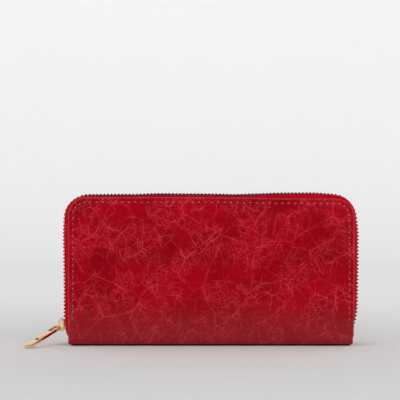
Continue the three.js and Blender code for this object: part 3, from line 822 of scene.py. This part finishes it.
def seam(side_name, side):
    """Pale and red stitches by turns with needle holes drawn as dark marks of painted shade, and more such
    holes and red ends low on the left.
    """
    pile = Pile()
    floor = FACE_Y - 0.2

    def add(rings, distance, inset, face, look):
        points, faces = loft(on_outline(rings, distance, inset, face, side))
        pile.add(points, faces, look)

    for k, distance in enumerate(seam_stops()):
        low = arch(distance)[1] < RED_BELOW
        pale = stitch_rings(1.3, 0.64, 0.5, 0.0)
        red = stitch_rings(1.35, 0.6, 0.42, 0.02)
        slant = 0.16 * sin(2.4 * k)
        pale[..., 1] += slant + pale[..., 0] * 0.16
        red[..., 1] += slant + red[..., 0] * 0.16
        pale[..., 0] += 0.62
        red[..., 0] -= 0.72
        hole = stitch_rings(0.62, 0.62, 0.16, -0.04)
        hole[..., 0] += 1.6
        for rings, look in ((pale, 1 if low else 0), (red, 1), (hole, 2)):
            add(rings, distance, SEAM_INSET, floor, look)
    for k in range(9):
        distance = 5.5 + 1.9 * k
        extra = stitch_rings(0.85, 0.7, 0.2, -0.03)
        shift = 0.75 if k % 2 else -0.55
        add(extra, distance, SEAM_INSET + shift, floor + 0.05, 2 if k % 3 else 1)
    obj = pile.build(f"{side_name}_seam_stitches", [THREAD, RED_THREAD, HOLE_SHADE])
    return place(obj, f"{side_name}_cover", "seam_thread", f"{side_name}_thread")


for side_name, side in SIDES:
    seam(side_name, side)


# ---- zip tape, teeth and stops ----

TOOTH_PITCH = 2.4
BACK_DROP = 0.55  # the chain leans, so that the back row lies lower than the front row
TAPE_PROFILE = (
    (-5.7, 10.3), (-4.2, 10.32), (-2.4, 10.3), (-0.9, 10.3), (-0.15, 10.05), (0.45, 9.55),
    (1.05, 8.7), (1.6, 7.6), (2.1, 6.5), (2.55, 5.5), (2.82, 4.7), (2.92, 4.3), (3.04, 3.8),
    (3.06, 2.9), (3.06, 1.35), (2.9, 1.0), (2.6, 1.0), (2.45, 1.35), (2.45, 2.9), (2.45, 3.8),
    (2.45, 4.3), (2.35, 4.8),
    (2.05, 5.5), (1.6, 6.4), (1.1, 7.4), (0.5, 8.45), (-0.1, 9.25), (-0.55, 9.75), (-1.1, 9.9),
    (-2.4, 9.9), (-4.2, 9.9), (-5.7, 9.9),
)


def zip_tape(side_name, side):
    """One half of the tape: its profile goes round the panel, puckered and swelling."""
    steps = int(ARCH_LENGTH / 1.1)
    distances = np.linspace(0, ARCH_LENGTH, steps + 1)
    profile = np.array(TAPE_PROFILE)
    pucker = 0.07 * np.sin(distances * 2 * pi / 7.3) + 0.05 * np.sin(distances * 1.31 + side)
    slope = bump(profile[:, 1], 7.2, 1.8)
    lean = BACK_DROP if side > 0 else 0
    run = run_along(profile)
    rings, places = [], []
    for distance, fold in zip(distances, pucker):
        grown = smooth(profile[:, 0], 0, 2.4) * (tape_swell(distance) - lean)
        offset = profile[:, 0] + fold * slope + grown
        rings.append(zip_point(distance, offset, side * profile[:, 1]))
        places.append(xyz(distance, run))
    points, faces = loft(rings)
    obj = make(f"{side_name}_zip_tape", points, faces, [TAPE], cut=np.concatenate(places), sharp=50)
    return place(obj, f"{side_name}_cover", "red_zip_tape", f"{side_name}_tape")


TOOTH_STATIONS = (  # y, half width, lowest and highest offset
    (3.4, 0.36, 2.25, 3.95), (3.25, 0.5, 2.0, 4.2), (2.95, 0.6, 1.9, 4.38), (1.7, 0.64, 1.9, 4.4),
    (0.9, 0.64, 1.95, 4.4), (0.1, 0.57, 2.1, 4.3), (-0.55, 0.53, 2.2, 4.2), (-0.95, 0.38, 2.5, 3.9),
)


def tooth_rings(distance, side, lower):
    """Rings across one tooth, from its foot on the tape to its tip."""
    x, z, nx, nz = arch(distance)
    rings = []
    for y, half, low, high in TOOTH_STATIONS:
        flank = [(half, low + 0.45), (half, high - 0.5), (half * 0.95, high - 0.2), (half * 0.72, high)]
        shape = flank + [(-a, o) for a, o in flank[::-1]] + [(-half * 0.6, low), (half * 0.6, low)]
        along, offset = np.array(shape).T
        reach = offset - lower - drawn_in(distance) - corner_dip(distance)
        rings.append(xyz(x + nx * reach + nz * along, side * y, z + nz * reach - nx * along))
    return rings


def zip_teeth(side_name, side):
    """One row of teeth, half a pitch off the other row."""
    pile = Pile()
    start_z, phase, lower = (18.4, 0.0, 0.0) if side < 0 else (9.2, TOOTH_PITCH / 2, BACK_DROP)
    for k in range(int(ARCH_LENGTH / TOOTH_PITCH) + 1):
        distance = 0.9 + phase + k * TOOTH_PITCH
        if start_z - ZIP_FOOT <= distance <= ARCH_LENGTH - 2.6:
            pile.add(*loft(tooth_rings(distance, side, lower)))
    obj = pile.build(f"{side_name}_zip_teeth", [BLACK], 40)
    return place(obj, f"{side_name}_cover", "black_metal", f"{side_name}_teeth")


def zip_stop(side_name, side, end, start, stop):
    """An end stop: a folded metal staple over the tape's edge."""
    middle_o, middle_y = 3.15, 2.2
    rings = []
    for distance, grow in zip(np.linspace(start, stop, 6), (0.7, 0.95, 1.0, 1.0, 0.95, 0.7)):
        ring = []
        for k in range(12):
            out, across = squarish(2 * pi * k / 12, 0.6)
            offset = middle_o + 0.62 * grow * out
            y = middle_y + 1.3 * grow * across
            ring.append(zip_point(distance, offset, side * y))
        rings.append(ring)
    points, faces = loft(rings)
    obj = make(f"{side_name}_zip_stop_{end}", points, faces, [BLACK], sharp=40)
    return place(obj, f"{side_name}_cover", "black_metal", f"{side_name}_stop_{end}")


for side_name, side in SIDES:
    zip_tape(side_name, side)
    zip_teeth(side_name, side)
    zip_stop(side_name, side, "left", 0.3, 2.9)
    zip_stop(side_name, side, "right", ARCH_LENGTH - 2.1, ARCH_LENGTH - 0.3)


# ---- boards and linings ----

BOARD_EDGE = 0.12
for side_name, side in SIDES:
    node, body = f"{side_name}_board", f"{side_name}_cover"
    bench(node, f"{node}_panel", BOARD, body, "stiffener_board", BOARD_EDGE, trim=1.2, low=4.4)
bench("spine_board", "spine_board_panel", BOARD, "spine", "stiffener_board", BOARD_EDGE, trim=3.8)

LINING_HALF_W = 88.0
LINING_TOP = 91.0
LINING_CORNER = 6
LINING_IN = 9.9  # |y| of its inner face
LINING_T = 0.4


def lining_path():
    """The cover lining's path, from its top down to the spine: |y| of its inner face, z, normal."""
    foot, bend = 5.2, 2.4
    top = [(LINING_IN, z, 1.0, 0.0) for z in np.linspace(LINING_TOP, foot, 44)]
    turn = []
    for a in np.radians(np.linspace(0, 90, 10))[1:]:
        y = LINING_IN - bend * (1 - cos(a))
        z = foot - bend * sin(a)
        turn.append((y, z, cos(a), sin(a)))
    return np.array(top + turn + [(6.6, 2.78, 0.0, 1.0), (5.6, 2.75, 0.0, 1.0)])


def cover_lining(side_name, side):
    """The lining of a cover, which bends with it down to the spine."""
    path = lining_path()
    x = np.linspace(-LINING_HALF_W, LINING_HALF_W, 90)
    z = path[:, 1][:, None]
    round_top = np.clip(z - (LINING_TOP - LINING_CORNER), 0, LINING_CORNER)
    squeeze = 1 - (LINING_CORNER - np.sqrt(LINING_CORNER ** 2 - round_top ** 2)) / LINING_HALF_W
    grid_x = x[None, :] * squeeze
    grid_z = np.repeat(z, len(x), axis=1)
    out, up = path[:, 2][:, None], path[:, 3][:, None]
    loose = 0.05 * waves(grid_x, grid_z + 90 * side, 14, 5.1)
    inner_y = path[:, 0][:, None] + loose * out
    inner = xyz(grid_x, side * inner_y, grid_z)
    out_y = path[:, 0][:, None] + LINING_T * 0.85 * out
    outer = xyz(grid_x, side * out_y, grid_z - LINING_T * 0.4 * up)
    obj = sheet(f"{side_name}_lining_cloth", inner, outer, LINING, xyz(grid_x, grid_z))
    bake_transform(obj)
    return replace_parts(obj, f"{side_name}_lining")


for side_name, side in SIDES:
    cover_lining(side_name, side)
bench("spine_lining", "spine_lining_cloth", LINING, "spine", "red_lining", 0.1, 2.3)


# ---- card pockets ----

CARD_HALF_W = 87.5
CARD_STRIPS = range(1, 5)
CARD_OUT = 9.8  # |y| of the first strip's outer face
CARD_LAYER = 0.65
CARD_T = 0.5
CARD_TOP = 84
CARD_STEP = 11


def card_place(k):
    """|y| of a pocket strip's outer face, and its top."""
    return CARD_OUT - CARD_LAYER * (k - 1), CARD_TOP - CARD_STEP * (k - 1)


def mouth_dip(x):
    """How far a pocket's mouth dips, most in the middle of its left and of its right half."""
    return 0.9 * bump(np.abs(x) - 44, 0, 9)


def card_strip(side_name, side, k):
    """A leather pocket strip with a folded, slightly thicker top edge and a mouth that dips."""
    outer_y, top = card_place(k)
    x = np.linspace(-CARD_HALF_W, CARD_HALF_W, 91)
    edge_rows = top - np.array([2.4, 2.2, 2.0, 1.6, 0.9, 0.25, 0.0])
    grid_x, grid_z = np.meshgrid(x, np.concatenate([np.linspace(4, top - 3, 12), edge_rows]))
    mouth = mouth_dip(grid_x) * smooth(grid_z, top - 20, top)
    hem = 0.06 * smooth(grid_z, top - 2.4, top - 2.0) - 0.12 * smooth(grid_z, top - 0.3, top)
    quilt = 0.03 * waves(grid_x, grid_z + 50 * k, 11, 3.3)
    inner_y = outer_y - CARD_T - hem + quilt
    inner = xyz(grid_x, side * inner_y, grid_z - mouth)
    outer = xyz(grid_x, side * outer_y, grid_z - mouth)
    # The cut z, the distance from the mouth, gives the mouth the pale edge line: part wear, part painted
    # highlight.
    apart = np.minimum(top - grid_z + 0.2, 6)
    spots = xyz(grid_x, grid_z + 140 * k + 700 * side, apart)
    obj = sheet(f"{side_name}_card_pocket_{k}", inner, outer, LEATHER, spots)
    return place(obj, f"{side_name}_cover", "red_leather", f"{side_name}_card_strip_{k}")


def stitch_run(pile, start, end, face, side, sag=False):
    """Stitches along a straight line from start to end, both (x, z), on a face at |y|, looking inwards."""
    (x0, z0), (x1, z1) = start, end
    length = hypot(x1 - x0, z1 - z0)
    count = int(length / 3)
    ax, az = (x1 - x0) / length, (z1 - z0) / length
    for i in range(count):
        middle = (i + 0.5) / count
        rings = stitch_rings(2.0, 0.5, 0.34, 0.0)
        px = x0 + (x1 - x0) * middle + rings[..., 0] * ax - rings[..., 1] * az
        pz = z0 + (z1 - z0) * middle + rings[..., 0] * az + rings[..., 1] * ax
        if sag:
            pz = pz - mouth_dip(px)
        pile.add(*loft(xyz(px, side * (face - rings[..., 2]), pz)))


def pocket_stitches(side_name, side):
    """Thread along each pocket's mouth and down the middle and side divisions."""
    pile = Pile()
    for k in CARD_STRIPS:
        outer_y, top = card_place(k)
        face = outer_y - CARD_T - 0.04
        for x0, x1 in ((-84.5, -2.5), (2.5, 84.5)):
            stitch_run(pile, (x0, top - 1.7), (x1, top - 1.7), face, side, sag=True)
        foot = top - 9 if k < 4 else 5
        for x in (-86.3, -0.7, 0.7, 86.3):
            stitch_run(pile, (x, foot), (x, top - 3.2), face + 0.03, side)
    obj = pile.build(f"{side_name}_pocket_stitches", [THREAD])
    return place(obj, f"{side_name}_cover", "seam_thread")


for side_name, side in SIDES:
    for k in CARD_STRIPS:
        card_strip(side_name, side, k)
    pocket_stitches(side_name, side)


# ---- coin pocket ----

def coin_wall(side_name, side):
    """A pocket wall, a little fuller in the middle than at its bound edges."""
    low, high = box_mm(f"coin_wall_{side_name}")
    x = np.linspace(low[0], high[0], 80)
    z = np.linspace(low[2], high[2], 32)
    grid_x, grid_z = np.meshgrid(x, z)
    across = np.minimum(grid_x - low[0], high[0] - grid_x)
    apart = np.minimum(across, np.minimum(grid_z - low[2], high[2] - grid_z))
    full = 0.22 * smooth(apart, 0, 8) * (1 + 0.4 * waves(grid_x, grid_z + 60 * side, 18, 9.4))
    hem = 0.12 * smooth(-apart, -3.2, -2.8)
    outer = xyz(grid_x, side * (2.8 + full + hem), grid_z)
    inner = xyz(grid_x, side * 2.25, grid_z)
    obj = sheet(f"coin_pocket_{side_name}", outer, inner, LINING, xyz(grid_x, grid_z))
    return place(obj, "spine", "red_lining", f"coin_wall_{side_name}")


def coin_stitches():
    """Thread along the coin pocket's edges, on both walls."""
    low, high = box_mm("coin_wall_front")
    left, right, foot, top = low[0] + 2, high[0] - 2, low[2] + 4, high[2] - 2
    corners = ((left, foot), (left, top), (right, top), (right, foot))
    pile = Pile()
    for _, side in SIDES:
        for start, end in zip(corners, corners[1:]):
            stitch_run(pile, start, end, 3.0, -side)
    obj = pile.build("coin_pocket_stitches", [THREAD])
    return place(obj, "spine", "seam_thread")


COIL_HALF = 83.6
COIL_PITCH = 1.5
COIL_Y = 1.2
COIL_Z = 74.25
FILAMENT_R = 0.17


def coin_coil(side_name, side):
    """A nylon coil: slanted loops of one filament, side by side."""
    pile = Pile()
    steps, corners = 12, 5
    faces = grid_faces(steps, corners, close_cols=True, close_rows=True)
    start = COIL_PITCH / 4 if side > 0 else 0
    for k in range(int(2 * COIL_HALF / COIL_PITCH)):
        x0 = -COIL_HALF + COIL_PITCH * (k + 0.5) + start
        points = []
        for i in range(steps):
            a = 2 * pi * i / steps
            rise = sin(a)
            out = np.array([0, cos(a), rise])
            middle = np.array([x0 + 0.3 * rise, side * COIL_Y + 0.44 * cos(a), COIL_Z + 0.6 * rise])
            for b in np.radians(np.arange(corners) * 72):
                round_wire = cos(b) * out + sin(b) * np.array([1.0, 0, 0])
                points.append(middle + FILAMENT_R * round_wire)
        pile.add(points, faces)
    obj = pile.build(f"coin_zip_coil_{side_name}", [COIL], 60)
    return place(obj, "spine", "coin_coil", f"coin_coil_{side_name}")


for side_name, side in SIDES:
    coin_wall(side_name, side)
    coin_coil(side_name, side)
    bench(f"coin_tape_{side_name}", f"coin_zip_tape_{side_name}", TAPE, "spine", "red_zip_tape", 0.15)
coin_stitches()
bench("coin_gusset", "coin_pocket_gusset", LINING, "spine", "red_lining", 0.15)
for node, name, body, edge in (
    ("coin_stop_left", "coin_zip_stop_left", "spine", 0.3),
    ("coin_stop_right", "coin_zip_stop_right", "spine", 0.3),
    ("coin_slider_body", "coin_zip_slider", "coin_slider", 0.2),
    ("coin_slider_bail", "coin_zip_bail", "coin_slider", 0.15),
    ("coin_pull_tab", "coin_zip_pull", "coin_pull", 0.16),
):
    bench(node, name, GOLD, body, "gold_metal", edge)


# ---- main slider ----

SLIDER_Z = (8.5, 17.7)


def slider_plate(low, high, narrow):
    """One plate of the slider: shoulders at the foot where the rows part, narrower above."""
    z0, z1 = SLIDER_Z
    half = (
        [(0.0, z0 + 0.9), (0.9, z0 + 0.45), (2.2, z0)] + arc(3.0, z0 + 1.2, 1.2, -90, 0, 4)
        + [(4.15, z0 + 3.6), (3.75, z0 + 5.2)] + arc(2.75, z1 - 1.1, 1.0, 0, 90, 4)
    )
    points = [(y * narrow, z) for y, z in half]
    points += [(-y, z) for y, z in points[::-1] if y > 0]
    return prism(points, -HALF_W - high, -HALF_W - low)


def slider_body():
    """Two plates, the flanges between them and the diamond post, where the rows part."""
    pile = Pile()
    pile.add(*slider_plate(0.5, 1.3, 0.97))
    pile.add(*slider_plate(4.75, 5.4, 1.0))
    z0, z1 = SLIDER_Z
    flange = [(3.5, z0 + 1.5), (4.1, z0 + 1.5), (4.1, z0 + 4.0), (3.8, z0 + 5.3)]
    flange += [(3.8, z1 - 1.4), (3.5, z1 - 1.4)]
    for side in (-1, 1):
        for low, high in ((0.9, 2.5), (3.8, 5.1)):
            outline = [(side * y, z) for y, z in flange]
            pile.add(*prism(outline, -HALF_W - high, -HALF_W - low))
    post = [(0.0, z0 + 0.95), (0.6, z0 + 1.6), (0.45, z0 + 3.2)]
    post += [(0.0, z0 + 4.0), (-0.45, z0 + 3.2), (-0.6, z0 + 1.6)]
    pile.add(*prism(post, -HALF_W - 5.0, -HALF_W - 1.0))
    obj = soften(pile.build("zip_slider", [GOLD]), 0.2, 3)
    return place(obj, "main_slider", "gold_metal", "slider_body")


def swept_wire(path, half_y, half_t):
    """A bent flat wire along a path of (x, z) points, rounded across."""
    path = np.asarray(path, float)
    tangent = np.gradient(path, axis=0)
    tangent /= np.linalg.norm(tangent, axis=1)[:, None]
    rings = []
    for (x, z), (tx, tz) in zip(path, tangent):
        ring = []
        for k in range(12):
            c, s = squarish(2 * pi * k / 12, 0.75)
            ring.append((x - tz * half_t * c, half_y * s, z + tx * half_t * c))
        rings.append(ring)
    return loft(rings)


def slider_bail():
    """The bail: both its feet stand on the outer plate."""
    foot, crown = -HALF_W - 5.35, -HALF_W - 7.5
    z0, z1 = 9.2, 17.0
    r = 1.2
    path = [(foot, z0), (foot - 0.25, z0)]
    path += arc(crown + r, z0 + r, r, -90, -180, 8)
    path += arc(crown + r, z1 - r, r, 180, 90, 8)
    path += [(foot - 0.25, z1), (foot, z1)]
    points, faces = swept_wire(path, 0.64, 0.43)
    obj = make("zip_slider_bail", points, faces, [GOLD], sharp=50)
    return place(obj, "main_slider", "gold_metal", "slider_bail")


slider_body()
slider_bail()
bench("slider_lock", "zip_slider_lock", GOLD, "main_slider", "gold_metal", 0.12)


# ---- main pull ----

PULL_LENGTH = 35
PULL_W = 6.4
PULL_T = 1.5
PULL_TRIM = 0.4  # the visible bar is a little narrower than the plain solid
PULL_TOP = 1.15  # the visible bar is a little thicker than the plain solid, upwards
PULL_YAW = radians(57.3)
PULL_EYE = np.array([-102.75, 0, 10.5])


def pull_matrix():
    """From the bar's own frame, with its length along X, to its place."""
    reach = PULL_LENGTH - PULL_W / 2
    slope = asin((PULL_EYE[2] - PULL_T / 2 - 0.1) / reach)
    flat = np.array([-cos(PULL_YAW), -sin(PULL_YAW), 0])
    along = flat * cos(slope) + np.array([0, 0, -sin(slope)])
    across = np.array([sin(PULL_YAW), -cos(PULL_YAW), 0])
    return np.stack([along, across, np.cross(along, across)], axis=1)


def inset(ring, depth):
    """A closed outline moved sideways into the metal, which lies on its left."""
    ring = np.asarray(ring, float)
    before, after = ring - np.roll(ring, 1, 0), np.roll(ring, -1, 0) - ring
    before /= np.linalg.norm(before, axis=1)[:, None]
    after /= np.linalg.norm(after, axis=1)[:, None]
    left = np.stack([-before[:, 1] - after[:, 1], before[:, 0] + after[:, 0]], -1)
    turn = 1 + np.sum(before * after, axis=1)
    return ring + depth * left / turn[:, None]


def rounded_plate(rings, low, high, edge):
    """Layers of each outline, from the rounded lower edge to the rounded upper one."""
    layers = []
    angles = np.radians((90, 60, 30, 0))
    for a in angles:
        layers.append((edge * (1 - cos(a)), low + edge * (1 - sin(a))))
    for a in angles[::-1]:
        layers.append((edge * (1 - cos(a)), high - edge * (1 - sin(a))))
    return [[np.insert(inset(ring, d), 2, z, axis=1) for d, z in layers] for ring in rings]


def pull():
    """The flat bar: a slotted eye, a small round hole, and rounded edges."""
    half = PULL_W / 2 - PULL_TRIM
    tip = PULL_LENGTH - PULL_W / 2
    r = 1.1
    outline = (
        [(0, -half), (tip / 2, -half)] + arc(tip - r, -half + r, r, -90, 0, 6)
        + arc(tip - r, half - r, r, 0, 90, 6) + [(tip / 2, half), (0, half)]
        + arc(0, 0, half, 90, 270, 24)[1:-1]
    )
    inner = half - 0.65
    slot_end = 9.4 - inner
    slot = (
        arc(slot_end - 0.5, inner - 0.5, 0.5, 90, 0, 4) + arc(slot_end - 0.5, 0.5 - inner, 0.5, 0, -90, 4)
        + arc(0, 0, inner, -90, -270, 18)
    )
    hole_at, hole_r = tip - 11, 1.2
    hole = arc(hole_at, 0, hole_r, 0, -360, 24)[:-1]
    work = bmesh.new()
    ends = {0: [], -1: []}
    for layers in rounded_plate((outline, slot, hole), -PULL_T / 2, PULL_TOP, 0.3):
        verts = [[work.verts.new(p) for p in layer] for layer in layers]
        for lower, upper in zip(verts, verts[1:]):
            for i in range(len(lower)):
                work.faces.new((lower[i - 1], lower[i], upper[i], upper[i - 1]))
        for end in ends:
            rim = verts[end]
            ends[end] += [work.edges.get((rim[i - 1], rim[i])) for i in range(len(rim))]
    for edges in ends.values():
        bmesh.ops.triangle_fill(work, use_beauty=True, use_dissolve=False, edges=edges)
    bmesh.ops.recalc_face_normals(work, faces=work.faces)
    local = np.array([v.co for v in work.verts])
    work.verts.index_update()
    faces = [[v.index for v in f.verts] for f in work.faces]
    work.free()
    placed = local @ pull_matrix().T + PULL_EYE
    middles = np.array([local[f].mean(axis=0) for f in faces])
    # The small hole's wall takes the dark gold of painted shade.
    in_hole = np.hypot(middles[:, 0] - hole_at, middles[:, 1]) < hole_r + 0.1
    obj = make("zip_pull", placed, faces, [GOLD, PULL_HOLE_SHADE], in_hole, local, 40)
    return place(obj, "main_pull", "gold_metal", "pull_tab")


pull()


# ---- floor, backdrop, light and camera ----

# The paper is painted a little lighter near the wallet than on the rest of the sweep, a painted pool of
# light.
NEAR_PAPER_PAINTED_LIGHT = (0.872, 0.866, 0.862)
WALL_PAPER = (0.85, 0.85, 0.85)
GLOW_MIDDLE = -120  # y of the glow's middle
# The backdrop's own glow, over distances from its middle: it grows across the floor, from least to
# most, and the wall adds some more.
GLOW_RUN = (60, 640)
GLOW_LEAST = 0.035
GLOW_MOST = 0.18
WALL_RUN = (1150, 1800)
WALL_GLOW = 0.105


def backdrop():
    """A pale seamless bowl round the wallet: floor, a wide curve and a wall, the same from every side."""
    floor, curve, rim = 1150, 500, 1500
    bend = np.radians(np.linspace(0, 90, 25))
    flat = np.array([60, 120, 200, 320, 480, 660, 860, 1010])
    radius = np.concatenate([flat, floor + curve * np.sin(bend), [floor + curve]])
    height = np.concatenate([0 * flat, curve * (1 - np.cos(bend)), [rim]])
    steps = 96
    turn = np.arange(steps) * 2 * pi / steps
    around = radius[:, None]
    points = xyz(around * np.cos(turn), around * np.sin(turn), height[:, None]).reshape(-1, 3)
    faces = grid_faces(len(radius), steps, close_cols=True) + [tuple(range(steps))]
    look = Look("pale paper sweep", 0.8, specular=0.0)
    moved = look.vector("SUBTRACT", look.cut(), (0, GLOW_MIDDLE, 0))
    away = look.add("ShaderNodeVectorMath", {0: moved}, "Value", operation="LENGTH")
    speck = look.noise(look.cut(), 20, 4, 0.6)
    paper = look.mix(look.ramp(away, *GLOW_RUN), NEAR_PAPER_PAINTED_LIGHT, WALL_PAPER)
    paper = look.mix(look.times(speck, 0.05), paper, (0.70, 0.69, 0.68))
    look.set(Base_Color=paper)
    # The sweep's glow is painted light: the backdrop shines by itself, though it is no lamp.
    near = look.ramp(away, *GLOW_RUN, GLOW_LEAST, GLOW_MOST)
    look.set(Emission_Strength=look.plus(near, look.ramp(away, *WALL_RUN, 0.0, WALL_GLOW)))
    look.set(Emission_Color=(1, 1, 1, 1))
    look.material.cycles.emission_sampling = "NONE"
    obj = make("studio_sweep", points, faces, [look.material])


def softbox(name, where, target, width, height, power):
    lamp = bpy.data.lights.new(name, "AREA")
    lamp.shape = "RECTANGLE"
    lamp.size, lamp.size_y = width, height
    lamp.energy = power
    obj = link(name, lamp)
    obj.location = where
    obj.rotation_euler = (Vector(target) - Vector(where)).to_track_quat("-Z", "Y").to_euler()
    obj.visible_camera = False


def studio():
    backdrop()
    softbox("top_box", (0.0, 0.08, 1.9), (0.0, 0.03, 0), 2.2, 1.7, 10.0)
    softbox("left_box", (-0.95, -0.70, 0.55), (0, 0, 0.05), 0.5, 0.8, 1.8)
    softbox("right_box", (1.0, -0.70, 0.55), (0, 0, 0.05), 0.5, 0.8, 2.5)
    world = bpy.data.worlds.new("studio air")
    world.use_nodes = True
    air = world.node_tree.nodes["Background"]
    air.inputs["Color"].default_value = (0.92, 0.93, 0.95, 1)
    air.inputs["Strength"].default_value = 0.04
    scene = bpy.context.scene
    scene.world = world
    scene.view_settings.view_transform = "Standard"
    lens = bpy.data.cameras.new("camera")
    lens.sensor_width = 36
    lens.lens = 109.7
    lens.clip_start, lens.clip_end = 0.01, 20
    camera = link("camera", lens)
    camera.location = (-0.0074, -0.8125, 0.0960)
    camera.rotation_euler = (pi / 2, 0, 0)
    scene.camera = camera


studio()
